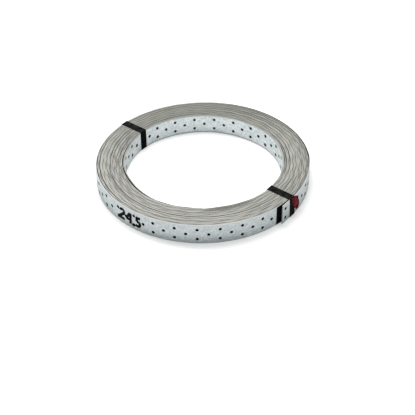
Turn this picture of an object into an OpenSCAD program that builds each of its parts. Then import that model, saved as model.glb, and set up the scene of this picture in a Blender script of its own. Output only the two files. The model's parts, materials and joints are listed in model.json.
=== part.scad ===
// Coil of perforated steel strap, lying flat and held by two plastic ties.
// Millimetres. The coil's axis is Z, and the origin is on the floor below the coil's centre.

/* [Strap] */
// Width of the strap, which is the height of the coil
strap_width = 40; // [36:1:60]
// Thickness of the strap
strap_thickness = 2; // [1:0.1:3]
// Length of strap in the coil, in metres
strap_length = 25; // [10:1:50]
// Break on the long edges of the strap
edge_break = 0.4; // [0.1:0.05:0.5]

/* [Coil] */
// Inner diameter of the coil
coil_bore = 300; // [250:5:400]
// Mean gap between one turn and the next
turn_gap = 0.22; // [0.1:0.02:0.4]
// Depth of the gaps between the turns, on both ends of the coil
gap_depth = 3; // [1:0.5:6]

/* [Nail holes] */
// Diameter of the nail holes
hole_d = 5; // [3:0.5:6]
// Distance along the strap from one pair of holes to the next
pair_pitch = 40; // [30:1:60]
// Distance of the two outer rows of holes from the middle of the strap
row_offset = 10; // [8:0.5:12]
// Distance from the outer end of the strap to its first pair of holes
outer_end_to_hole = 8.5; // [6:0.5:15]
// Distance from the inner end of the strap to its first pair of holes
inner_end_to_hole = 18; // [8:0.5:25]
// Direction in which the inner end of the strap lies
inner_end_angle = -90; // [-120:1:-60]

/* [Tail] */
// Length of strap at the outer end that stands off the coil
tail_length = 23; // [18:1:40]
// Radius to which the tail is bent outwards
tail_bend = 110; // [60:1:200]
// Distance along the coil from the front tie's edge to the tail
tail_clear = 0.5; // [0.2:0.1:5]

/* [Ties] */
// Width of the ties
tie_width = 15; // [10:0.5:25]
// Thickness of the ties
tie_thickness = 0.6; // [0.4:0.1:1.2]
// Direction of the front tie from the coil's axis
front_tie_angle = -37.5; // [-60:0.5:-20]
// Direction of the rear tie from the coil's axis
rear_tie_angle = 140.7; // [120:0.1:160]

/* [Hidden] */
$fn = 240;

// A coil of n turns holds pi * n * (bore + n * pitch) of strap, which is solved here for n.
turn_pitch = strap_thickness + turn_gap;
strap_mm = strap_length * 1000;
turns = round((sqrt(coil_bore ^ 2 + 4 * turn_pitch * strap_mm / PI) - coil_bore) / (2 * turn_pitch));
bore_r = coil_bore / 2;
coil_r = bore_r + turns * turn_pitch - turn_gap;

// The ties pass under the coil, so the strap's lower edge is one tie thickness off the floor.
coil_z = tie_thickness;
mid_z = coil_z + strap_width / 2;

// The holes' pitch lies on the middle of the strap. The outermost turn winds in from the coil's radius by one
// turn's pitch, so its mean radius is taken there.
outer_mid_r = coil_r - (strap_thickness + turn_pitch) / 2;
inner_mid_r = bore_r + strap_thickness / 2;
outer_step = pair_pitch / outer_mid_r * 180 / PI;
inner_step = pair_pitch / inner_mid_r * 180 / PI;

// Angles around the coil: the tail's root beside the front tie, its free end, and the first holes.
tail_root_angle = front_tie_angle - asin((tie_width / 2 + tail_clear) / coil_r);
outer_end_angle = tail_root_angle - tail_length / coil_r * 180 / PI;
first_outer_angle = outer_end_angle + outer_end_to_hole / coil_r * 180 / PI;
first_inner_angle = inner_end_angle - inner_end_to_hole / bore_r * 180 / PI;
tail_sweep = tail_length / (tail_bend + strap_thickness / 2) * 180 / PI;
tail_hole_sweep = (tail_length - outer_end_to_hole) / (tail_bend + strap_thickness / 2) * 180 / PI;

// Holes that fit on one turn of the outer and the inner face, clear of the strap's ends
outer_room = (2 * PI * outer_mid_r - outer_end_to_hole - hole_d) / pair_pitch;
inner_room = (2 * PI * inner_mid_r - inner_end_to_hole - hole_d) / pair_pitch;
outer_pairs = floor(outer_room);
outer_singles = floor(outer_room - 0.5);
inner_pairs = floor(inner_room);
inner_singles = floor(inner_room - 0.5);

// Small lengths by which a cutter reaches past the face that it cuts
over = 1;

steel = [0.72, 0.74, 0.75];
black_plastic = [0.10, 0.11, 0.11];

// Edge of one turn on the upper end, from the inside outwards, with the gap to the next turn.
function turn_edge(i) =
    let (r0 = bore_r + i * turn_pitch, r1 = r0 + strap_thickness, top = strap_width / 2)
    concat(
        [[r0, top - edge_break], [r0 + edge_break, top], [r1 - edge_break, top], [r1, top - edge_break]],
        i < turns - 1 ? [[r1, top - gap_depth], [r1 + turn_gap, top - gap_depth]] : []
    );
upper_edge = [for (i = [0 : turns - 1]) each turn_edge(i)];
lower_edge = [for (k = [len(upper_edge) - 1 : -1 : 0]) [upper_edge[k][0], -upper_edge[k][1]]];

// The wound turns as one turned ring, with the turns' edges on both ends
module wound_turns() {
    translate([0, 0, mid_z])
        rotate_extrude()
            polygon(concat(upper_edge, lower_edge));
}

// Free outer end of the strap, bent away from the coil's face
module tail() {
    rotate([0, 0, tail_root_angle])
        translate([coil_r + tail_bend, 0, coil_z])
            rotate([0, 0, 180])
                rotate_extrude(angle = tail_sweep)
                    translate([tail_bend, 0])
                        square([strap_thickness, strap_width]);
}

// Cutter for one hole: its mouth is at radius r, and it goes inwards (side = -1) or outwards (side = 1)
module hole(r, side, z) {
    translate([r, 0, z])
        rotate([0, side * 90, 0])
            translate([0, 0, -over])
                cylinder(d = hole_d, h = strap_thickness + over);
}

// Cutters for one column of the pattern: the pair in the outer rows, or the single in the middle row
module hole_pair(r, side) {
    for (row = [-1, 1]) hole(r, side, mid_z + row * row_offset);
}

module outer_holes() {
    for (k = [1 : outer_pairs])
        rotate([0, 0, first_outer_angle + k * outer_step]) hole_pair(coil_r, -1);
    for (k = [0 : outer_singles])
        rotate([0, 0, first_outer_angle + (k + 0.5) * outer_step]) hole(coil_r, -1, mid_z);
}

module inner_holes() {
    for (k = [0 : inner_pairs])
        rotate([0, 0, first_inner_angle - k * inner_step]) hole_pair(bore_r, 1);
    for (k = [0 : inner_singles])
        rotate([0, 0, first_inner_angle - (k + 0.5) * inner_step]) hole(bore_r, 1, mid_z);
}

// The tail's own pair of holes, square to its bent face
module tail_holes() {
    rotate([0, 0, tail_root_angle])
        translate([coil_r + tail_bend, 0, 0])
            rotate([0, 0, 180 + tail_hole_sweep])
                hole_pair(tail_bend, 1);
}

module strap_coil() {
    color(steel)
        difference() {
            union() {
                wound_turns();
                tail();
            }
            outer_holes();
            inner_holes();
            tail_holes();
        }
}

// Section of a tie: a band of even thickness around the coil's section, round at its outer corners
module tie_section() {
    reach = coil_r - bore_r;
    difference() {
        translate([bore_r, coil_z]) union() {
            translate([-tie_thickness, 0]) square([reach + 2 * tie_thickness, strap_width]);
            translate([0, -tie_thickness]) square([reach, strap_width + 2 * tie_thickness]);
            for (x = [0, reach], y = [0, strap_width]) translate([x, y]) circle(r = tie_thickness);
        }
        translate([bore_r, coil_z]) square([reach, strap_width]);
    }
}

// One tie: its section turned about the coil's axis and kept where it lies within the tie's width
module tie(angle) {
    span = tie_width / bore_r * 180 / PI;
    color(black_plastic)
        rotate([0, 0, angle])
            intersection() {
                rotate([0, 0, -span]) rotate_extrude(angle = 2 * span) tie_section();
                translate([0, -tie_width / 2, -over])
                    cube([coil_r + 2 * tie_thickness, tie_width, strap_width + 2 * (tie_thickness + over)]);
            }
}

module rear_tie() {
    tie(rear_tie_angle);
}

module front_tie() {
    tie(front_tie_angle);
}

strap_coil();
rear_tie();
front_tie();
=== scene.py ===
import json
import math

import bmesh
import bpy
import numpy as np
from mathutils import Matrix, Vector


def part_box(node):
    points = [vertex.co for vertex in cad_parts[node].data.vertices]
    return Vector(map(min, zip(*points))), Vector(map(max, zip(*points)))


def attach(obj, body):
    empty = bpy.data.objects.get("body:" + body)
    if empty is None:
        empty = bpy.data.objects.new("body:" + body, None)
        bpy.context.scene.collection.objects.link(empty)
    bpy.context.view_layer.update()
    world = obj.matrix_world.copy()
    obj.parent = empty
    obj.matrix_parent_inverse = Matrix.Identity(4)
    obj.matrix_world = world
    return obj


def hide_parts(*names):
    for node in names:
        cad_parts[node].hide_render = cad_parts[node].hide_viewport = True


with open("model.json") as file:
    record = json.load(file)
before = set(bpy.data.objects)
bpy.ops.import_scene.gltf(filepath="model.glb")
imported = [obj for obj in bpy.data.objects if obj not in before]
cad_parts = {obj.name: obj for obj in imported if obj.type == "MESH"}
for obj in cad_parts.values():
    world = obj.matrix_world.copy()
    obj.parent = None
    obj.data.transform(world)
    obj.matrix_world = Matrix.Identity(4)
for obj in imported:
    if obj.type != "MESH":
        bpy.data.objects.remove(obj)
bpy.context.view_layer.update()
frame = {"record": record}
scene = bpy.context.scene
mm = 0.001
turn = 2 * math.pi

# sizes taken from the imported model
coilLow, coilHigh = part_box("strap_coil")
boreMount = next(m for m in frame["record"]["mounts"] if m["name"] == "coil_bore")
coilOuter = coilHigh.x
coilMidZ = (coilLow.z + coilHigh.z) / 2
print("frame loaded: coil", round(2 * coilOuter, 4), "m across, bore", 2 * boreMount["dims"]["r_mm"], "mm")


# camera: stands back from the coil's centre along a line of sight, then slides in its own picture plane
cameraSpec = {
    "elevation": 38.010,        # degrees above the floor
    "roll": -0.667,             # degrees
    "distance": 1.9045,         # metres along the line of sight
    "slideRight": 8.78 * mm,
    "slideUp": -75.70 * mm,
    "focalPixels": 1008.45,
    "framePixels": 415,
    "sensor": 36.0,
    "clip": (0.05, 50),         # nearest and farthest metres that it shows
}


def makeCamera(spec):
    elevation = math.radians(spec["elevation"])
    roll = math.radians(spec["roll"])
    back = Vector((0, -math.cos(elevation), math.sin(elevation)))
    right = Vector((1, 0, 0))
    up = back.cross(right)
    rolledRight = right * math.cos(roll) + up * math.sin(roll)
    rolledUp = up * math.cos(roll) - right * math.sin(roll)
    data = bpy.data.cameras.new("camera")
    data.sensor_width = spec["sensor"]
    data.lens = spec["sensor"] * spec["focalPixels"] / spec["framePixels"]
    data.clip_start, data.clip_end = spec["clip"]
    camera = bpy.data.objects.new("camera", data)
    place = Vector((0, 0, coilMidZ)) + back * spec["distance"]
    place += rolledRight * spec["slideRight"] + rolledUp * spec["slideUp"]
    turned = Matrix((rolledRight, rolledUp, back)).transposed()
    camera.matrix_world = Matrix.Translation(place) @ turned.to_4x4()
    scene.collection.objects.link(camera)
    scene.camera = camera


makeCamera(cameraSpec)
print("camera placed")


# how the strap is wound, from its free outer end inwards
winding = {
    "thickness": 2.0 * mm,
    "pairPitch": 40.0 * mm,       # along the strap, from one pair of holes to the next
    "slack": 0.195 * mm,          # gap between two turns whose bends lie out of step
    "loose": 2.6,                 # share by which such a gap widens where the turns lie loosest
    "loosePlaces": 7,             # stretches of different looseness in one turn
    "loosePower": 4,              # the higher, the fewer stretches are loose
    "looseMean": 6,               # on average a gap widens by the loosest share over this
    "outerEnd": -46.4,            # degrees, where the free outer end lies
    "outerPair": -93.04,          # degrees, a pair of holes near the end of the outermost turn
    "innerEnd": -90.0,            # degrees, where the inner end lies
    "innerPair": 96.23,           # degrees, a pair of holes on the innermost turn
    "turns": 23,
    "turnPoints": 205,
    "tailLength": 23.0 * mm,      # stretch at the outer end that is bent off the coil
    "tailLift": 2.45 * mm,
    "tailCurve": 1.5,             # power with which it lifts towards its end
    "unevenBends": 0.15,          # share by which the bends at the holes differ
    "bendWaves": 0.83 / 3,        # waves of that in one hole pitch
    "bendSway": (2, 0.21),        # radians by which these waves shift to and fro, and how fast in each pitch
    # turns that spring inwards, or outwards with a minus: number of the turn, distance, middle and width in
    # degrees, and how many turns share the distance
    "springs": [(0, -1.3 * mm, -41.5, 13, 1), (0, -1.0 * mm, 185, 28, 1), (0, -0.25 * mm, 255, 45, 1),
                (23, 1.9 * mm, -154, 12, 1), (23, 1.1 * mm, -138, 8, 1), (22, 2.0 * mm, -80, 8, 4),
                (22, 1.6 * mm, -68, 10, 4), (22, 0.5 * mm, -4, 14, 1), (21, 0.6 * mm, 2, 16, 1),
                (22, 0.9 * mm, 182, 14, 1)],
    # places around the coil, each with a share, and its middle and width in degrees:
    # where all the gaps are wider, or with a minus closer
    "looser": [(0.15, -155, 25), (0.45, 178, 25), (0.1, 5, 25), (-0.25, -44, 9)],
    # where the turns lie in clumps, with fewer and wider gaps
    "clumped": [(0.7, 175, 32), (0.4, 0, 28)],
    # where the painted shade by the gaps comes and goes with the bends at the holes
    "dashed": [(1.2, 175, 36), (1.2, 0, 36)],
    "clumpClosed": 0.88,          # share of the usual gap that is lost in a clump
    "clumpOpen": 3,               # and how many times more a loose gap widens between clumps
    "rise": 0.5 * mm,             # how far the edges of the turns lie below the highest one
    "risePlaces": 5,              # stretches of different height in one turn
    "levelAt": (-37.5, 140.7),    # degrees, where the ties press the turns level
    "levelWidth": 7,              # degrees
    "seed": 7,
}


def smoothNoise(place, draws):
    # random values at the whole numbers of place, joined by 3 * part ^ 2 - 2 * part ^ 3
    whole = place.astype(int)
    part = place - whole
    part = part * part * (3 - 2 * part)
    return draws[whole] * (1 - part) + draws[whole + 1] * part


def nearPlaces(degrees, places):
    # over all places, the sum of share * e ^ -((degrees from the middle) / width) ^ 2
    return sum(share * np.exp(-(((degrees - middle + 180) % 360 - 180) / width) ** 2)
               for share, middle, width in places)


def windTurns(spec, looseness):
    # Each turn lies inside the last one, closer by the strap's thickness and by slack * |sin(pi * step)|,
    # where step is the number of hole pitches in that turn: bends that line up nest, others hold a gap,
    # and loose stretches hold a wider one.
    thickness, slack = spec["thickness"], spec["slack"]
    along = np.arange(spec["turnPoints"]) / spec["turnPoints"]
    degrees = np.degrees(turn * along) + spec["outerEnd"]
    wider = 1 + nearPlaces(degrees, spec["looser"])
    clumped = nearPlaces(degrees, spec["clumped"])
    # about the mean distance between turns: |sin| has the mean 2 / pi
    usual = thickness + slack * 2 / math.pi * (1 + spec["loose"] / spec["looseMean"])

    def gaps(lap, middle):
        step = turn * (middle - usual * along) / spec["pairPitch"]
        loose = smoothNoise((lap + along) * spec["loosePlaces"], looseness) ** spec["loosePower"]
        even = 1 - spec["clumpClosed"] * clumped
        loosened = spec["loose"] * (1 + spec["clumpOpen"] * clumped) * loose
        return slack * np.abs(np.sin(math.pi * step)) * (even + loosened) * wider

    radii = [coilOuter - thickness / 2 - (thickness + gaps(0, coilOuter)[0]) * along]
    for lap in range(spec["turns"]):
        radii.append(radii[-1] - thickness - gaps(lap, radii[-1].mean()))
    return np.concatenate(radii)


def windStrap(spec):
    pitch, thickness, points = spec["pairPitch"], spec["thickness"], spec["turnPoints"]
    draws = np.random.default_rng(spec["seed"])
    looseness = draws.random((spec["turns"] + 2) * spec["loosePlaces"])
    heights = draws.random((spec["turns"] + 2) * spec["risePlaces"])
    radius = windTurns(spec, looseness)
    angle = math.radians(spec["outerEnd"]) + turn * np.arange(len(radius)) / points
    count = np.cumsum(radius) * turn / points / pitch

    # cut the path at the inner end, then shift and stretch the count a hair, so that both known pairs of
    # holes fall on whole numbers
    endAngle = math.radians(spec["innerEnd"]) + turn * spec["turns"]
    keep = angle <= endAngle
    angle, radius, count = angle[keep], radius[keep], count[keep]
    outerPair = np.interp(math.radians(spec["outerPair"]) + turn, angle, count)
    count = count + round(outerPair) - outerPair
    pairAngle = math.radians(spec["innerPair"])
    innerPair = np.interp(pairAngle + turn * math.floor((endAngle - pairAngle) / turn), angle, count)
    missing = round(innerPair) - innerPair
    count = count + missing * (count - round(outerPair)) / (innerPair - round(outerPair))

    # the strap bends a little at each pair of holes, so its radius waves by about
    # slack / 2 * cos(turn * count), and the tail lifts off towards its end
    lift = np.clip(1 - (count - count[0]) * pitch / spec["tailLength"], 0, None)
    sway, swayRate = spec["bendSway"]
    uneven = np.sin(spec["bendWaves"] * turn * count + sway * np.sin(swayRate * count))
    bends = spec["slack"] / 2 * (1 - spec["unevenBends"] + spec["unevenBends"] * uneven)
    wave = np.where(lift > 0, 0, bends * np.cos(turn * count))
    radius = radius + wave + spec["tailLift"] * lift ** spec["tailCurve"]
    for lap, size, middle, width, shared in spec["springs"]:
        for step in range(shared):
            off = (angle - math.radians(middle) - turn * (lap - step)) / math.radians(width)
            radius = radius - size * (1 - step / shared) * np.exp(-off ** 2)
    for first in range(points, len(radius), points):
        # a turn gives way to the one outside it
        outside = radius[first - points:first][:len(radius) - first]
        radius[first:first + points] = np.minimum(radius[first:first + points], outside - thickness)

    # the turns' edges lie unevenly, and level at the ties
    degrees = np.degrees(angle)
    rise = smoothNoise((angle - angle[0]) / turn * spec["risePlaces"], heights)
    for middle in spec["levelAt"]:
        rise = rise * (1 - nearPlaces(degrees, [(1, middle, spec["levelWidth"])]))

    # width of the gap to the turn outside and to the turn inside
    between = radius[:-points] - radius[points:] - thickness
    print("gaps between turns:", np.round(np.percentile(between, [0, 50, 90, 100]) / mm, 3), "mm")
    none = np.zeros(points)
    return {"angle": angle, "radius": radius, "count": count, "rise": -spec["rise"] * rise,
            "slope": np.arctan2(np.gradient(radius, angle), radius),
            "dashed": nearPlaces(degrees, spec["dashed"]),
            "gapOutside": np.concatenate([none, between]), "gapInside": np.concatenate([between, none])}


strapPath = windStrap(winding)
print("strap wound:", round(np.ptp(strapPath["count"]) * winding["pairPitch"], 2), "m,",
      round(np.ptp(strapPath["angle"]) / turn, 2), "turns, inner face at",
      round((strapPath["radius"][-1] - winding["thickness"] / 2) / mm, 2), "mm")


# places along the strap are counted in hole pitches, with the pairs of holes on the whole numbers
def onPath(name, count):
    return np.interp(count, strapPath["count"], strapPath[name])


def countAt(angle):
    # the angle grows by one turn for each turn of the strap
    return np.interp(angle, strapPath["angle"], strapPath["count"])


def strapPoint(count, across, out):
    # Point on the wound strap: count along it, across the width, out of its mid-thickness.
    # The path gives radius and angle, and the strap's own normal leans off the radius by the path's slope.
    angle, radius = onPath("angle", count), onPath("radius", count)
    lean = angle - onPath("slope", count)
    x = radius * np.cos(angle) + out * np.cos(lean)
    y = radius * np.sin(angle) + out * np.sin(lean)
    return np.stack(np.broadcast_arrays(x, y, coilMidZ + across + onPath("rise", count)), -1)


# gathers grids of points, each with its faces, uv and material, and puts them into one mesh
class Surface:
    def __init__(self):
        self.points, self.faces, self.uv, self.film, self.slots = [], [], [], [], []
        self.used = 0

    def grid(self, points, uv, film, slot, wrap=False):
        # points is (..., rows, columns, 3); quads join each row to the next and each column to the next,
        # and with wrap the last column to the first
        rows, columns = points.shape[-3:-1]
        count = points[..., 0].size
        index = np.arange(count).reshape(-1, rows, columns) + self.used
        after = np.roll(index, -1, axis=2) if wrap else index[:, :, 1:]
        here = index if wrap else index[:, :, :-1]
        quads = np.stack([here[:, :-1], after[:, :-1], after[:, 1:], here[:, 1:]], -1).reshape(-1, 4)
        self.points.append(points.reshape(-1, 3))
        self.uv.append(np.broadcast_to(uv, points.shape[:-1] + (2,)).reshape(-1, 2))
        self.film.append(np.broadcast_to(film, points.shape[:-1]).reshape(-1))
        self.faces.append(quads)
        self.slots.append(np.full(len(quads), slot))
        self.used += count

    def strapGrid(self, count, across, out, film, slot, wrap=False):
        # a grid on the wound strap, with the metres along and across it as uv
        count, across, out = np.broadcast_arrays(count, across, out)
        uv = np.stack([count * winding["pairPitch"], across], -1)
        self.grid(strapPoint(count, across, out), uv, film, slot, wrap)

    def build(self, name, materials, merge=0.002 * mm, sharpFrom=28):
        # points closer than merge become one, and edges bent by more degrees than sharpFrom stay sharp
        points = np.concatenate(self.points)
        faces = np.concatenate(self.faces)
        mesh = bpy.data.meshes.new(name)
        mesh.vertices.add(len(points))
        mesh.vertices.foreach_set("co", points.ravel())
        mesh.loops.add(faces.size)
        mesh.loops.foreach_set("vertex_index", faces.ravel())
        mesh.polygons.add(len(faces))
        mesh.polygons.foreach_set("loop_start", np.arange(len(faces)) * 4)
        mesh.polygons.foreach_set("material_index", np.concatenate(self.slots))
        mesh.update(calc_edges=True)
        layer = mesh.uv_layers.new(name="strapUV")
        layer.data.foreach_set("uv", np.concatenate(self.uv)[faces.ravel()].ravel())
        # this attribute carries painted shade: how dark each corner is painted in the gaps, holes and under
        # the tail
        film = mesh.attributes.new("film", "FLOAT", "CORNER")
        film.data.foreach_set("value", np.concatenate(self.film)[faces.ravel()])
        for material in materials:
            mesh.materials.append(material)
        work = bmesh.new()
        work.from_mesh(mesh)
        bmesh.ops.remove_doubles(work, verts=work.verts, dist=merge)
        bmesh.ops.recalc_face_normals(work, faces=work.faces)
        work.to_mesh(mesh)
        work.free()
        mesh.shade_smooth()
        mesh.set_sharp_from_angle(angle=math.radians(sharpFrom))
        piece = bpy.data.objects.new(name, mesh)
        scene.collection.objects.link(piece)
        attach(piece, "root")
        print(name, "made:", len(mesh.polygons), "faces")
        return piece


# the strap's section, its holes and the painted shade on it
strapSection = {
    "width": coilHigh.z - coilLow.z,
    "edgeBreak": 0.4 * mm,
    "holeRadius": 2.5 * mm,
    "holeLip": 0.2 * mm,          # rounding of the punched rim
    "rowOffset": 10.0 * mm,
    "sideCuts": 8,                # points along one side of a hole's square
    "leastRun": 1e-6,             # hole pitches; shorter stretches aren't drawn
    "fadeRing": 0.3 * mm,            # ring around a hole's rim over which the painted shade fades out
    "shadedRim": 0.9 * mm,         # how much wider the painted shade at a hole's rim is at the sides of the coil
    "holeShade": (0, 0, 0.9, 1, 1, 0.9, 0, 0),     # painted shade on the rings of a hole, from front to back
    "hiddenFaceShade": 0.88,            # painted shade on the turns' inner faces, as seen through the innermost one's holes
    "tailShade": 0.25,             # and at least this painted shade on the back of the tail
    "darkFrom": 9.5 * mm,         # the painted shade shows this far out from under the tail
    "edgeShade": 0.10,            # painted shade on an edge beside a closed gap
    "wideGap": 0.30 * mm,         # gap beside which an edge is painted quite dark
    "gapPower": 1.5,              # how steeply the painted shade grows with the gap, and towards it
    "nearPower": 1.2,
    "dashMean": 0.35,             # mean share by which the dashed places have more of it
    "outerTurn": (1.15, 1.30),    # metres of strap over which the outermost turn passes into the next
}
faceSlot, edgeSlot = 0, 1

# where the strap passes under its tail and behind its inner end, and where the runs with holes stop nearby,
# midway between two columns of holes
underTail = countAt(strapPath["angle"][0] + turn)
underEnd = countAt(strapPath["angle"][-1] - turn)
outerStop = math.floor(underTail * 2) / 2 + 0.75
innerStart = math.ceil(underEnd * 2) / 2 - 0.75
halfThick = winding["thickness"] / 2
halfWidth = strapSection["width"] / 2
flatHalf = halfWidth - strapSection["edgeBreak"]
edgeHalf = halfThick - strapSection["edgeBreak"]
# points across a face beside the holes
faceCuts = np.linspace(-flatHalf, flatHalf, 2 * strapSection["sideCuts"] + 1)


def edgeShade(count, out):
    # painted shade on the strap's edges: none on the middle line, and by the gaps the more the wider the gap
    # is;
    # in the dashed places it is darkest midway between two pairs of holes
    spec = strapSection
    gap = np.where(out > 0, onPath("gapOutside", count), onPath("gapInside", count))
    wide = np.clip(gap / spec["wideGap"], 0, 1) ** spec["gapPower"]
    darkShade = spec["edgeShade"] + (1 - spec["edgeShade"]) * wide
    dashes = 1 + onPath("dashed", count) * (spec["dashMean"] - np.cos(turn * count))
    return np.clip(darkShade * dashes, 0, 1) * np.abs(out / halfThick) ** spec["nearPower"]


def holeRings(centres, ends, row, low, high, sideCuts, endCuts):
    # Rings around one hole in each cell: the cell's rectangle on the front, the fade ring, the rim, the wall,
    # the rim and the fade ring on the back, and the rectangle there. Point k of a ring lies on the
    # rectangle's outline, or at angle k on a circle. The rectangles stop at the ends of the run.
    pitch = winding["pairPitch"]
    side = np.arange(sideCuts) / sideCuts
    end = np.arange(endCuts) / endCuts
    lowSide, highSide = np.full(sideCuts, low), np.full(sideCuts, high)
    before, after = np.full(endCuts, -0.5), np.full(endCuts, 0.5)
    alongBox = np.concatenate([side - 0.5, after, 0.5 - side, before]) * pitch / 2
    acrossBox = np.concatenate([lowSide, low + (high - low) * end, highSide, high + (low - high) * end])
    total = len(alongBox)
    angle = -math.pi / 2 - math.pi * sideCuts / total + turn * np.arange(total) / total
    radius, lip = strapSection["holeRadius"], strapSection["holeLip"]
    sideways = np.cos(onPath("angle", centres)) ** 2
    # painted shade at the rim, which reaches wider at the sides of the coil; beyond it lies the ring over
    # which it fades
    rim = (radius + lip + strapSection["shadedRim"] * sideways)[:, None]
    fadeRing = rim + strapSection["fadeRing"]
    sizes = [None, fadeRing, rim, radius, radius, rim, fadeRing, None]
    outs = np.array([1, 1, 1, 1 - lip / halfThick, lip / halfThick - 1, -1, -1, -1]) * halfThick
    shape = (len(centres), total)
    along = [np.broadcast_to(alongBox if r is None else r * np.cos(angle), shape) for r in sizes]
    across = [np.broadcast_to(acrossBox if r is None else row + r * np.sin(angle), shape) for r in sizes]
    count = np.clip(centres[:, None, None] + np.stack(along, 1) / pitch, *ends)
    return count, np.stack(across, 1), outs[None, :, None]


def addHoledRun(surface, first, last, capAt, frontShade, backShade):
    # One stretch of strap with its holes cut right through: cells around the holes, the plain ends before the
    # first cell and after the last, the two long edges, and a cap on the strap's end.
    sideCuts, row, ends = strapSection["sideCuts"], strapSection["rowOffset"], (first, last)
    room = (strapSection["holeRadius"] + 2 * strapSection["holeLip"]) / winding["pairPitch"]
    cells = np.arange(math.ceil((first + room) * 2), math.floor((last - room) * 2) + 1) / 2
    pairs = cells[cells % 1 == 0]
    singles = cells[cells % 1 != 0]
    rims = [holeRings(pairs, ends, row, 0, flatHalf, sideCuts, sideCuts),
            holeRings(pairs, ends, -row, -flatHalf, 0, sideCuts, sideCuts),
            holeRings(singles, ends, 0, -flatHalf, flatHalf, sideCuts, 2 * sideCuts)]
    # painted shade on the rings of the holes
    holeShade = np.array(strapSection["holeShade"])[None, :, None]

    # painted shade of a point: that of its hole's ring, or more where its face is painted darker
    def filmAt(count, out, base):
        return np.maximum(np.where(out > 0, frontShade(count), backShade(count)), base)

    for count, across, out in rims:
        surface.strapGrid(count, across, out, filmAt(count, out, holeShade), faceSlot, wrap=True)

    # stations along the edges: the ends and every point of the cells' sides
    cellCuts = np.clip(np.arange(len(cells) * sideCuts + 1) / sideCuts / 2 + cells[0] - 0.25, first, last)
    cuts = np.unique(np.concatenate([[first], cellCuts, [last]]))
    for plain in ((first, cellCuts[0]), (cellCuts[-1], last)):
        if plain[1] - plain[0] < strapSection["leastRun"]:
            continue
        count = np.array(plain)[None, :]
        for side in (1, -1):
            surface.strapGrid(count, faceCuts[:, None], side * halfThick, filmAt(count, side, 0), faceSlot)
    outs = np.array([halfThick, edgeHalf, 0, -edgeHalf, -halfThick])[:, None]
    sides = np.array([flatHalf, halfWidth, halfWidth, halfWidth, flatHalf])[:, None]
    for side in (1, -1):
        surface.strapGrid(cuts[None, :], side * sides, outs, edgeShade(cuts[None, :], outs), edgeSlot)
    addCap(surface, capAt)


def addCap(surface, station):
    # End of the strap: quads from the front face to the back face, and two across each broken edge
    thick = np.array([halfThick, 0, -halfThick])
    surface.strapGrid(station, faceCuts[None, :], thick[:, None], 0, faceSlot)
    out = np.array([thick, [edgeHalf, 0, -edgeHalf]])
    for side in (1, -1):
        across = side * np.array([[flatHalf], [halfWidth]])
        surface.strapGrid(station, across, out, 0, faceSlot)


def addPlainRun(surface, first, last):
    # The turns in between: an eight-cornered section carried along the path from one holed run to the other.
    # Only their edges and what shows down the gaps and holes is seen, so the holes aren't cut here.
    inside = strapPath["count"][(strapPath["count"] > first) & (strapPath["count"] < last)]
    stations = np.concatenate([[first], inside, [last]])
    upper = np.array([[halfThick, flatHalf], [edgeHalf, halfWidth], [0, halfWidth], [-edgeHalf, halfWidth],
                      [-halfThick, flatHalf]])
    for profile in (upper, -upper):
        count, out, across = stations[None, :], profile[:, :1], profile[:, 1:]
        surface.strapGrid(count, across, out, edgeShade(count, out), edgeSlot)

    # faces: two points across, fanned out to the holed runs' points at both ends
    corners = np.where(faceCuts < 0, -flatHalf, flatHalf)
    middle = (inside, np.array([[-flatHalf], [flatHalf]]))
    ends = [(stations[:2], np.stack([faceCuts, corners], 1)),
            (stations[-2:], np.stack([corners, faceCuts], 1))]
    # painted shade: the faces of the turns in between are painted dark, fully outside and nearly so inside,
    # as the shade down the gaps and holes
    for side, film in ((1, 1.0), (-1, strapSection["hiddenFaceShade"])):
        for places, rows in (middle, *ends):
            surface.strapGrid(places[None, :], rows, side * halfThick, film, faceSlot)


def makeStrap(materials):
    surface = Surface()
    firstCount, lastCount = strapPath["count"][[0, -1]]

    def tailBackShade(count):
        # painted shade on the back of the tail, darker towards its root
        root = winding["tailLength"] / winding["pairPitch"]
        return np.clip((count - firstCount) / root, strapSection["tailShade"], 1)

    addHoledRun(surface, firstCount, outerStop, firstCount, np.zeros_like, tailBackShade)
    addPlainRun(surface, outerStop, innerStart)
    addHoledRun(surface, innerStart, lastCount, lastCount, np.ones_like, np.zeros_like)
    strap = surface.build("strap", materials)
    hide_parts("strap_coil")


# running length printed on the strap, as plain figures
figureSpec = {
    "startAngle": -138.6,         # degrees, the left side of the first figure
    "stroke": 6.0 * mm,
    "ink": 0.05 * mm,
    "layer": 0.002 * mm,          # each stroke lies this much higher than the last, so that no two coincide
    "sunk": 0.04 * mm,            # how far the strokes reach into the strap
    "bowCuts": 40,
    "cuts": 48,                   # points along a stroke
    "merge": 0.0005 * mm,
    # each stroke: a bow (middle, radius, first and last angle in degrees) or nothing, then points that it
    # runs through, in mm
    "strokes": [
        {"bow": (8.6, 6.0, 5.0, 172, -32), "line": [(-1.4, -8.8)]},
        {"line": [(-2.6, -9.4), (13.9, -9.2)]},
        {"line": [(28.0, 10.6), (18.8, -2.4)]},
        {"line": [(17.8, -3.2), (32.2, -3.2)]},
        {"line": [(29.9, 12.2), (28.6, -11.6)]},
        {"line": [(36.8, -7.6), (34.4, -13.8)]},
        {"line": [(42.2, 8.8), (51.6, 8.8)]},
        {"line": [(44.2, 9.4), (43.8, 0.4)]},
        {"bow": (45.4, -4.6, 5.0, 118, -150), "line": []},
    ],
}


def lengthAlong(points):
    return np.concatenate([[0], np.cumsum(np.hypot(*np.diff(points, axis=0).T))])


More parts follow.
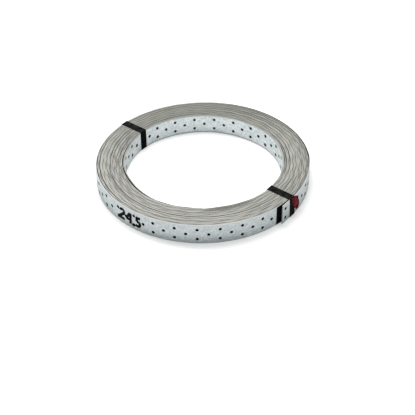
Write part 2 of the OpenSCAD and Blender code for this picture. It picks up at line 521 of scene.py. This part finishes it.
def strokeLine(spec, stroke):
    # points at even steps along one stroke, in metres
    corners = []
    if "bow" in stroke:
        middleX, middleY, radius, first, last = stroke["bow"]
        sweep = np.radians(np.linspace(first, last, spec["bowCuts"]))
        corners.append(np.stack([middleX + radius * np.cos(sweep), middleY + radius * np.sin(sweep)], -1))
    if stroke["line"]:
        corners.append(np.array(stroke["line"], float))
    corners = np.concatenate(corners)
    length = lengthAlong(corners)
    place = np.linspace(0, length[-1], spec["cuts"])
    return np.stack([np.interp(place, length, corners[:, axis]) for axis in (0, 1)], -1) * mm


def makeFigure(spec, material):
    # Each stroke is a flat ribbon: points along its line, moved half a stroke's width to both sides, and
    # laid on the outer face of the strap by the strap's own surface.
    start = countAt(math.radians(spec["startAngle"]) + turn)
    sides = np.array([1, -1, -1, 1, 1])[:, None] * spec["stroke"] / 2
    low = halfThick - spec["sunk"]
    surface = Surface()
    for number, stroke in enumerate(spec["strokes"]):
        line = strokeLine(spec, stroke)
        run = np.gradient(line, axis=0)
        run /= np.linalg.norm(run, axis=1, keepdims=True)
        top = halfThick + spec["ink"] + number * spec["layer"]
        x = line[None, :, 0] - sides * run[None, :, 1]
        y = line[None, :, 1] + sides * run[None, :, 0]
        outs = np.array([top, top, low, low, top])[:, None]
        points = strapPoint(start + x / winding["pairPitch"], y, outs)
        surface.grid(points, np.stack([x, y], -1), 0, 0)
        for end in (0, -1):
            surface.grid(points[[[0, 1], [3, 2]], end], 0, 0, 0)
    figure = surface.build("length_figure", [material], merge=spec["merge"])


# the two ties: flat plastic bands around the coil's section
tieSpec = {
    "width": 15.6 * mm,
    "thickness": 0.6 * mm,
    "edgeRound": 0.6,             # share of half the thickness that is rounded off the band's edges
    "bend": 0.9 * mm,             # radius at the middle of the band where it turns over the strap's edges
    "bendCuts": 6,
    "runCuts": 12,
    "angles": {"front_tie": -37.5, "rear_tie": 140.7},
    "lean": {"front_tie": -2.0 * mm, "rear_tie": 0.0},     # sideways shift at the upper outer corner
    "reach": 3.2,                 # degrees to each side within which the band clears the strap
}


def radiiAt(degrees, reach):
    # inner and outer face of the wound strap around one direction
    off = (strapPath["angle"] - math.radians(degrees) + math.pi) % turn - math.pi
    radius = strapPath["radius"][np.abs(off) < math.radians(reach)]
    return radius.min() - halfThick, radius.max() + halfThick


def tieLoop(spec, inner, outer, low, high):
    # middle line of the band around the coil's section, with round corners: in each row the distance from the
    # coil's axis, the height, and the two parts of the direction that points out of the loop
    bend = spec["bend"]
    corners = [(outer - bend, high - bend, 0), (inner + bend, high - bend, 90),
               (inner + bend, low + bend, 180), (outer - bend, low + bend, 270)]
    arc = np.radians(np.linspace(0, 90, spec["bendCuts"]))
    bends = []
    for centreR, centreZ, start in corners:
        cosine, sine = np.cos(math.radians(start) + arc), np.sin(math.radians(start) + arc)
        bends.append(np.stack([centreR + bend * cosine, centreZ + bend * sine, cosine, sine], -1))
    steps = np.linspace(0, 1, spec["runCuts"] + 2)[1:-1, None]
    loop = []
    for corner, following in zip(bends, bends[1:] + bends[:1]):
        loop += [corner, corner[-1] + (following[0] - corner[-1]) * steps]
    return np.concatenate(loop)


def makeTie(node, degrees, material):
    # A flat band's section, with round edges, carried round a loop that hugs the coil's section.
    # Each point keeps its distance from the coil's axis, so the band curves with the strap's faces.
    spec = tieSpec
    half, halfWide = spec["thickness"] / 2, spec["width"] / 2
    inner, outer = radiiAt(degrees, spec["reach"])
    inner, outer = inner - half, outer + half
    lowZ, highZ = coilLow.z - half, coilHigh.z + half
    loop = tieLoop(spec, inner, outer, lowZ, highZ)
    roundIn = half * spec["edgeRound"]
    flatY, flatN = halfWide - roundIn, half - roundIn
    profileY = np.array([-flatY, flatY, halfWide, halfWide, flatY, -flatY, -halfWide, -halfWide])[:, None]
    profileN = np.array([half, half, flatN, -flatN, -half, -half, -flatN, flatN])[:, None]
    r = loop[None, :, 0] + profileN * loop[None, :, 2]
    z = loop[None, :, 1] + profileN * loop[None, :, 3]
    shareOut = np.clip((r - inner) / (outer - inner), 0, 1)
    shareUp = np.clip((z - lowZ) / (highZ - lowZ), 0, 1)
    y = profileY + spec["lean"][node] * shareOut * shareUp
    x = np.sqrt(r ** 2 - y ** 2)
    cosine, sine = math.cos(math.radians(degrees)), math.sin(math.radians(degrees))
    points = np.stack([x * cosine - y * sine, x * sine + y * cosine, z], -1)
    uv = np.stack(np.broadcast_arrays(lengthAlong(loop[:, :2])[None, :], profileY), -1)
    surface = Surface()
    surface.grid(np.concatenate([points, points[:1]]), np.concatenate([uv, uv[:1]]), 0, 0, wrap=True)
    tie = surface.build(node + "_band", [material])
    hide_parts(node)


# shader helpers
def feed(tree, node, inputs):
    # each input takes a value, or a link from another node's socket
    for name, value in inputs.items():
        if isinstance(value, bpy.types.NodeSocket):
            tree.links.new(value, node.inputs[name])
        else:
            node.inputs[name].default_value = value


def addNode(tree, kind, inputs=None, **settings):
    made = tree.nodes.new(kind)
    for name, value in settings.items():
        setattr(made, name, value)
    feed(tree, made, inputs or {})
    return made


def mixColour(tree, factor, first, second):
    return addNode(tree, "ShaderNodeMix", {0: factor, 6: first, 7: second}, data_type="RGBA").outputs[2]


def calculate(tree, operation, first, second=0.5):
    return addNode(tree, "ShaderNodeMath", {0: first, 1: second}, operation=operation).outputs[0]


def times(tree, first, second):
    return calculate(tree, "MULTIPLY", first, second)


def weigh(tree, values, weights):
    # sum of each value times its weight
    total = None
    for value, weight in zip(values, weights):
        term = times(tree, value, weight)
        total = term if total is None else calculate(tree, "ADD", total, term)
    return total


def spread(tree, value, low, high, toLow=0.0, toHigh=1.0):
    inputs = {"Value": value, "From Min": low, "From Max": high, "To Min": toLow, "To Max": toHigh}
    return addNode(tree, "ShaderNodeMapRange", inputs).outputs[0]


def noise(tree, vector, scale, detail, roughness=0.5):
    inputs = {"Vector": vector, "Scale": scale, "Detail": detail, "Roughness": roughness}
    return addNode(tree, "ShaderNodeTexNoise", inputs).outputs["Fac"]


def bump(tree, height, strength, distance):
    inputs = {"Height": height, "Strength": strength, "Distance": distance}
    return addNode(tree, "ShaderNodeBump", inputs).outputs[0]


def split(tree, vector):
    return addNode(tree, "ShaderNodeSeparateXYZ", {"Vector": vector}).outputs


def strapUv(tree):
    return addNode(tree, "ShaderNodeUVMap", uv_map="strapUV").outputs[0]


def objectPlace(tree):
    return addNode(tree, "ShaderNodeTexCoord").outputs["Object"]


# painted shade of each corner, from the strap's mesh
def filmOn(tree):
    return addNode(tree, "ShaderNodeAttribute", attribute_name="film").outputs["Fac"]


def emptyTree(owner):
    owner.use_nodes = True
    owner.node_tree.nodes.clear()
    return owner.node_tree


def newMaterial(name, shine=0.5):
    material = bpy.data.materials.new(name)
    tree = emptyTree(material)
    shader = addNode(tree, "ShaderNodeBsdfPrincipled", {"Specular IOR Level": shine})
    addNode(tree, "ShaderNodeOutputMaterial", {"Surface": shader.outputs[0]})
    return material, tree, shader


def newGroup(name, inputs, outputs):
    # inputs and outputs name the kind of each socket; gives the group, what comes in and the node to feed
    group = bpy.data.node_groups.new(name, "ShaderNodeTree")
    for direction, sockets in (("INPUT", inputs), ("OUTPUT", outputs)):
        for label, kind in sockets.items():
            group.interface.new_socket(label, in_out=direction, socket_type="NodeSocket" + kind)
    return group, addNode(group, "NodeGroupInput").outputs, addNode(group, "NodeGroupOutput")


def useGroup(tree, group, inputs):
    return addNode(tree, "ShaderNodeGroup", inputs, node_tree=group).outputs


def grainRough(tree, grain, rough):
    # the grain lies mostly between 0.3 and 0.7
    return spread(tree, grain["Grain"], 0.3, 0.7, *rough)


def rolledStreaks():
    # lines along the strap from rolling and dipping: noise drawn out along the length, in strap metres
    inputs = {"Vector": "Vector", "Lines per metre": "Float", "Stretch": "Float"}
    group, given, end = newGroup("rolledStreaks", inputs, {"Streaks": "Float"})
    place = split(group, given["Vector"])
    along = times(group, place["X"], given["Stretch"])
    joined = addNode(group, "ShaderNodeCombineXYZ", {"X": along, "Y": place["Y"]}).outputs[0]
    streaks = noise(group, joined, given["Lines per metre"], detail=4.0, roughness=0.6)
    feed(group, end, {"Streaks": streaks})
    return group


def surfaceGrain():
    # cloudy patches and fine grain together, from two noises of different size
    inputs = {"Vector": "Vector", "Patch scale": "Float", "Grain scale": "Float"}
    group, given, end = newGroup("surfaceGrain", inputs, {"Patches": "Float", "Grain": "Float"})
    feed(group, end, {"Patches": noise(group, given["Vector"], given["Patch scale"], detail=3.0),
                      "Grain": noise(group, given["Vector"], given["Grain scale"], detail=5.0)})
    return group


spotSpec = {
    "angle": -33.9,               # degrees around the coil
    "height": 22.5 * mm,
    "half": (11.0 * mm, 19.5 * mm),
    "lean": 0.45,                 # sideways for each step down
    "ragged": (240.0, 0.9),       # scale and share of the noise on its rim
    "rim": (1.05, 0.95),          # squared shares of its half size at which the paint begins and is full
    "blotches": (170.0, 0.40, 0.62),      # scale of the noise, and where it is quite dark and quite red
    "red": (0.26, 0.006, 0.014, 1),
    "darkRed": (0.030, 0.0015, 0.003, 1),
    "inside": (198.5 * mm, 199.5 * mm),   # from the axis, so that only the outer face is painted
}


def paintSpot(spec):
    # a ragged oval of red paint over the strap and the tie: distance from its middle along the face and up,
    # each as a share of the oval's half size, with noise on the rim
    group, given, end = newGroup("paintSpot", {"Vector": "Vector"}, {"Mask": "Float", "Color": "Color"})
    place = given["Vector"]
    cosine, sine = math.cos(math.radians(spec["angle"])), math.sin(math.radians(spec["angle"]))

    def along(direction):
        made = addNode(group, "ShaderNodeVectorMath", {0: place, 1: direction}, operation="DOT_PRODUCT")
        return made.outputs["Value"]

    upwards = calculate(group, "SUBTRACT", along((0, 0, 1)), spec["height"])
    leaning = times(group, upwards, spec["lean"])
    sideways = calculate(group, "ADD", along((-sine, cosine, 0)), leaning)
    squares = []
    for distance, half in zip((sideways, upwards), spec["half"]):
        share = calculate(group, "DIVIDE", distance, half)
        squares.append(times(group, share, share))
    raggedScale, raggedShare = spec["ragged"]
    ragged = calculate(group, "SUBTRACT", noise(group, place, raggedScale, detail=4.0), 0.5)
    rim = calculate(group, "ADD", *squares)
    rim = calculate(group, "ADD", rim, times(group, ragged, raggedShare))
    outside = spread(group, along((cosine, sine, 0)), *spec["inside"])
    blotchScale, quiteDark, quiteRed = spec["blotches"]
    blotch = spread(group, noise(group, place, blotchScale, detail=3.0), quiteDark, quiteRed)
    feed(group, end, {"Mask": times(group, spread(group, rim, *spec["rim"]), outside),
                      "Color": mixColour(group, blotch, spec["darkRed"], spec["red"])})
    return group


streakGroup = rolledStreaks()
grainGroup = surfaceGrain()
spotGroup = paintSpot(spotSpec)


zincSpec = {
    "light": (0.795, 0.845, 0.85, 1),
    "dull": (0.46, 0.515, 0.525, 1),
    # colour of the painted shade
    "film": (0.003, 0.0035, 0.0035, 1),
    "spangles": 360.0,            # crystals per metre
    "streaks": {"Lines per metre": 500.0, "Stretch": 0.03},
    "grain": {"Patch scale": 45.0, "Grain scale": 600.0},
    "weights": (0.38, 0.45, 0.22, 0.35),  # of crystals, streaks, patches and grain in the tone
    "tones": (0.40, 0.95),        # tones that are quite dull and quite light
    "innerTurnShade": (0.30, 0.33, 0.32, 1),      # painted shade along the edges of the innermost turn's faces
    "innerTurnShadeWidth": (2.2 * mm, 1.0 * mm),  # from the edge, where it begins and where it is full
    "innerTurnShadeShare": 0.8,
    "innerTurnShadeStart": 0.1,           # metres of strap before that turn
    "hazeAndShadeColour": (0.34, 0.375, 0.375, 1),  # haze on the outermost turn, and painted shade towards its lower edge
    "hazeAndShade": (0.19, 0.44),         # its share at the middle of the strap and at its lower edge
    "filmEdge": 0.5 * mm,         # over which the painted shade fades
    "filmShort": 2.0 * mm,        # how far it stops short of the inner end
    "rough": (0.30, 0.44),
    "roughFrom": (0.2, 1.6),      # crystals and grain added up, where it is smoothest and roughest
    "filmRough": 0.7,
    "shine": 0.03,                # of painted shade and paint, the bare metal has none
    "reliefWeights": (0.4, 1.0),  # of grain and streaks in the relief
    "relief": (0.12, 0.4 * mm),   # strength and depth
}


def zincMaterial(spec):
    material, tree, shader = newMaterial("galvanisedFace", spec["shine"])
    uv = strapUv(tree)
    spangle = addNode(tree, "ShaderNodeTexVoronoi", {"Vector": uv, "Scale": spec["spangles"]})
    crystal = addNode(tree, "ShaderNodeSeparateColor", {"Color": spangle.outputs["Color"]}).outputs[0]
    streaks = useGroup(tree, streakGroup, {"Vector": uv, **spec["streaks"]})[0]
    grain = useGroup(tree, grainGroup, {"Vector": uv, **spec["grain"]})
    patterns = (crystal, streaks, grain["Patches"], grain["Grain"])
    tone = weigh(tree, patterns, spec["weights"])
    colour = mixColour(tree, spread(tree, tone, *spec["tones"]), spec["dull"], spec["light"])

    along, across = split(tree, uv)[:2]
    pitch = winding["pairPitch"]
    lastTurn = underEnd * pitch
    # painted shade along the edges of the innermost turn
    begin, full = spec["innerTurnShadeWidth"]
    innerTurnShade = spread(tree, calculate(tree, "ABSOLUTE", across), flatHalf - begin, flatHalf - full)
    within = spread(tree, along, lastTurn - spec["innerTurnShadeStart"], lastTurn, 0, spec["innerTurnShadeShare"])
    colour = mixColour(tree, times(tree, innerTurnShade, within), colour, spec["innerTurnShade"])
    # haze on the outermost turn, thicker towards its lower edge as painted shade
    hazeAndShade = spread(tree, across, 0, -flatHalf, *spec["hazeAndShade"])
    within = spread(tree, along, *strapSection["outerTurn"], 1, 0)
    colour = mixColour(tree, times(tree, hazeAndShade, within), colour, spec["hazeAndShadeColour"])
    spot = useGroup(tree, spotGroup, {"Vector": objectPlace(tree)})
    colour = mixColour(tree, spot["Mask"], colour, spot["Color"])

    # painted shade also covers the stretches under the tail and behind the inner end
    film = filmOn(tree)
    hidden = [(underTail * pitch - strapSection["darkFrom"], outerStop * pitch, 1),
              (innerStart * pitch, lastTurn - spec["filmShort"], strapSection["hiddenFaceShade"])]
    for first, last, strength in hidden:
        begins = spread(tree, along, first - spec["filmEdge"], first)
        ends = spread(tree, along, last, last + spec["filmEdge"], strength, 0)
        film = calculate(tree, "MAXIMUM", film, times(tree, begins, ends))
    colour = mixColour(tree, film, colour, spec["film"])
    covered = calculate(tree, "MAXIMUM", spot["Mask"], film)
    uneven = calculate(tree, "ADD", crystal, grain["Grain"])
    rough = spread(tree, uneven, *spec["roughFrom"], *spec["rough"])
    rough = calculate(tree, "MAXIMUM", rough, times(tree, film, spec["filmRough"]))
    height = weigh(tree, (grain["Grain"], streaks), spec["reliefWeights"])
    bare = calculate(tree, "SUBTRACT", 1.0, covered)
    relief = bump(tree, height, *spec["relief"])
    feed(tree, shader, {"Base Color": colour, "Metallic": bare, "Roughness": rough, "Normal": relief})
    return material


edgeSpec = {
    "light": (0.74, 0.74, 0.69, 1),
    "dark": (0.36, 0.36, 0.33, 1),
    "streaks": {"Lines per metre": 4.0, "Stretch": 1.0},
    "grain": {"Patch scale": 25.0, "Grain scale": 500.0},
    "weights": (0.9, 0.5),        # of streaks and grain in the tone
    "tones": (0.45, 0.95),        # tones that are quite dark and quite light
    "rust": (0.30, 0.21, 0.145, 1),
    "rustFrom": (0.56, 0.75),     # patches where it begins and where it is full
    "rustShare": 0.28,
    "dull": (0.25, 0.268, 0.215, 1),      # painted shade on the far side of the coil
    "farShadeFrom": (0.04, 0.16),     # metres behind the coil's middle, where it begins and where it is full
    "farShadeShare": 0.55,
    "outerEdgeHighlight": (0.84, 0.86, 0.86, 1),       # painted highlight on the edge of the outermost turn, but for a stretch of painted shade
    "outerEdgeHighlightShare": 0.8,
    "shadedStretch": ((0.13, 0.16), (0.36, 0.50)),    # metres of strap over which a painted shade comes and goes
    # colour of the painted shade
    "darkShade": (0.018, 0.018, 0.0165, 1),
    "metal": 0.75,
    "rough": (0.48, 0.66),
    "relief": (0.2, 0.3 * mm),
}


def edgeMaterial(spec):
    # slit edge: duller than the faces, with a tone of its own on each stretch, faint brown tarnish, painted
    # shade by the gaps and on the far side, and a painted highlight along the outermost turn
    material, tree, shader = newMaterial("slitEdge")
    uv = strapUv(tree)
    streaks = useGroup(tree, streakGroup, {"Vector": uv, **spec["streaks"]})[0]
    grain = useGroup(tree, grainGroup, {"Vector": uv, **spec["grain"]})
    tone = weigh(tree, (streaks, grain["Grain"]), spec["weights"])
    colour = mixColour(tree, spread(tree, tone, *spec["tones"]), spec["dark"], spec["light"])
    tarnish = spread(tree, grain["Patches"], *spec["rustFrom"], 0, spec["rustShare"])
    colour = mixColour(tree, tarnish, colour, spec["rust"])
    # painted shade on the far side of the coil
    far = spread(tree, split(tree, objectPlace(tree))["Y"], *spec["farShadeFrom"], 0, spec["farShadeShare"])
    colour = mixColour(tree, far, colour, spec["dull"])
    along = split(tree, uv)["X"]
    # painted highlight on the outermost turn's edge
    outerEdgeHighlight = spread(tree, along, *strapSection["outerTurn"], spec["outerEdgeHighlightShare"], 0)
    colour = mixColour(tree, outerEdgeHighlight, colour, spec["outerEdgeHighlight"])
    # painted shade on a stretch of the outermost turn's edge
    comes, goes = spec["shadedStretch"]
    shadedStretch = times(tree, spread(tree, along, *comes), spread(tree, along, *goes, 1, 0))
    colour = mixColour(tree, shadedStretch, colour, spec["darkShade"])
    # painted shade by the gaps and in the holes
    film = filmOn(tree)
    feed(tree, shader, {"Base Color": mixColour(tree, film, colour, spec["darkShade"]),
                        "Metallic": spread(tree, film, 0, 1, spec["metal"], 0),
                        "Roughness": grainRough(tree, grain, spec["rough"]),
                        "Normal": bump(tree, grain["Grain"], *spec["relief"])})
    return material


bandSpec = {
    "light": (0.003, 0.0037, 0.0035, 1),
    "dark": (0.0006, 0.0008, 0.0008, 1),
    "scuffAndSheen": (0.026, 0.029, 0.027, 1),     # scuffed where it lies on top, and lighter there as a painted sheen
    "scuffAndSheenFrom": 0.8,              # share of the tie's thickness above the coil at which that is full
    "grain": {"Patch scale": 120.0, "Grain scale": 1500.0},
    "weights": (0.8, 0.3),        # of patches and grain in the scuffs
    "scuffs": (0.35, 0.85),       # scuffs that are quite dark and quite light
    "scuffAndSheenPatches": (0.40, 0.75),   # and on top, where the scuffs and sheen begin and where they are full
    "ribs": 700.0,                # pressed lines per metre
    "rough": (0.42, 0.60),
    "shine": 0.02,
    "relief": (0.35, 0.1 * mm),
}


def bandMaterial(spec):
    # black strapping pressed with a fine lozenge pattern, scuffed a little grey, with a painted sheen on top
    material, tree, shader = newMaterial("blackBand", spec["shine"])
    uv = strapUv(tree)
    grain = useGroup(tree, grainGroup, {"Vector": uv, **spec["grain"]})
    along, across = split(tree, uv)[:2]
    waves = []
    for operation in ("ADD", "SUBTRACT"):
        slant = calculate(tree, operation, along, across)
        waves.append(calculate(tree, "SINE", times(tree, slant, spec["ribs"] * turn)))
    lozenge = calculate(tree, "MAXIMUM", *waves)
    scuff = weigh(tree, (grain["Patches"], grain["Grain"]), spec["weights"])
    colour = mixColour(tree, spread(tree, scuff, *spec["scuffs"]), spec["dark"], spec["light"])
    place = objectPlace(tree)
    # lighter on top: scuffs and a painted sheen
    top = coilHigh.z + tieSpec["thickness"] * spec["scuffAndSheenFrom"]
    onTop = spread(tree, split(tree, place)["Z"], coilHigh.z, top)
    scuffAndSheen = times(tree, onTop, spread(tree, scuff, *spec["scuffAndSheenPatches"]))
    colour = mixColour(tree, scuffAndSheen, colour, spec["scuffAndSheen"])
    spot = useGroup(tree, spotGroup, {"Vector": place})
    feed(tree, shader, {"Base Color": mixColour(tree, spot["Mask"], colour, spot["Color"]),
                        "Roughness": grainRough(tree, grain, spec["rough"]),
                        "Normal": bump(tree, lozenge, *spec["relief"])})
    return material


inkSpec = {
    "solid": (0.002, 0.002, 0.0025, 1),
    "thin": (0.006, 0.0062, 0.007, 1),
    "thinFrom": (0.50, 0.75),     # patches where the ink starts to thin and where it is thinnest
    "grain": {"Patch scale": 220.0, "Grain scale": 1400.0},
    "rough": (0.5, 0.7),
    "shine": 0.05,
}


def inkMaterial(spec):
    # printing ink: black, a little thin in places
    material, tree, shader = newMaterial("printInk", spec["shine"])
    grain = useGroup(tree, grainGroup, {"Vector": objectPlace(tree), **spec["grain"]})
    thin = spread(tree, grain["Patches"], *spec["thinFrom"])
    feed(tree, shader, {"Base Color": mixColour(tree, thin, spec["solid"], spec["thin"]),
                        "Roughness": grainRough(tree, grain, spec["rough"])})
    return material


zinc = zincMaterial(zincSpec)
edge = edgeMaterial(edgeSpec)
band = bandMaterial(bandSpec)
ink = inkMaterial(inkSpec)
print("materials made")

makeStrap([zinc, edge])
makeFigure(figureSpec, ink)
for node, degrees in tieSpec["angles"].items():
    makeTie(node, degrees, band)


# pale floor, white surroundings and soft lamps
stageSpec = {
    "floor": 6.0,
    "floorColour": (0.86, 0.86, 0.86, 1),
    "floorLift": 0.35,            # glow of the floor as the camera sees it
    "floorInMetal": 0.09,         # and where the metal mirrors it
    "sky": (0.05, 0.35),          # brightness of the surroundings low down and overhead
    "skyFrom": (0.25, 0.9),       # height of the direction at which it starts to brighten and stops
    "skyInMetal": 0.40,           # brightness is at least this where the metal mirrors them
    "lampSize": 0.9,
    # place and watts of each lamp
    "lamps": {"topLamp": ((0.0, 0.55, 2.2), 26.0), "leftLamp": ((-1.2, 0.9, 1.7), 19.0),
              "frontLamp": ((1.0, -1.5, 1.5), 9.0)},
}


def makeSky(spec):
    # the surroundings brighten towards overhead; the camera sees them plain white, and the metal pale
    scene.world = bpy.data.worlds.new("studio")
    tree = emptyTree(scene.world)
    upwards = split(tree, addNode(tree, "ShaderNodeTexCoord").outputs["Generated"])["Z"]
    soft = spread(tree, upwards, *spec["skyFrom"], *spec["sky"])
    ray = addNode(tree, "ShaderNodeLightPath").outputs
    mirrored = times(tree, ray["Is Glossy Ray"], spec["skyInMetal"])
    strength = calculate(tree, "MAXIMUM", calculate(tree, "MAXIMUM", soft, mirrored), ray["Is Camera Ray"])
    sky = addNode(tree, "ShaderNodeBackground", {"Color": (1, 1, 1, 1), "Strength": strength})
    addNode(tree, "ShaderNodeOutputWorld", {"Surface": sky.outputs[0]})


def makeFloor(spec):
    half = spec["floor"] / 2
    mesh = bpy.data.meshes.new("floor")
    corners = [(-half, -half, 0), (half, -half, 0), (half, half, 0), (-half, half, 0)]
    mesh.from_pydata(corners, [], [(0, 1, 2, 3)])
    material = bpy.data.materials.new("paleFloor")
    tree = emptyTree(material)
    diffuse = addNode(tree, "ShaderNodeBsdfDiffuse", {"Color": spec["floorColour"]})
    ray = addNode(tree, "ShaderNodeLightPath").outputs
    seen = times(tree, ray["Is Camera Ray"], spec["floorLift"])
    mirrored = times(tree, ray["Is Glossy Ray"], spec["floorInMetal"])
    lift = calculate(tree, "MAXIMUM", seen, mirrored)
    glow = addNode(tree, "ShaderNodeEmission", {"Color": (1, 1, 1, 1), "Strength": lift})
    both = addNode(tree, "ShaderNodeAddShader", {0: diffuse.outputs[0], 1: glow.outputs[0]})
    addNode(tree, "ShaderNodeOutputMaterial", {"Surface": both.outputs[0]})
    mesh.materials.append(material)
    floor = bpy.data.objects.new("floor", mesh)
    scene.collection.objects.link(floor)


def makeLamps(spec):
    # each lamp faces the coil
    for name, (place, watts) in spec["lamps"].items():
        light = bpy.data.lights.new(name, "AREA")
        light.size = spec["lampSize"]
        light.energy = watts
        holder = bpy.data.objects.new(name, light)
        holder.location = place
        holder.rotation_mode = "QUATERNION"
        holder.rotation_quaternion = (-Vector(place)).to_track_quat("-Z", "Y")
        scene.collection.objects.link(holder)


makeSky(stageSpec)
makeFloor(stageSpec)
makeLamps(stageSpec)
scene.view_settings.view_transform = "Standard"
print("stage set")
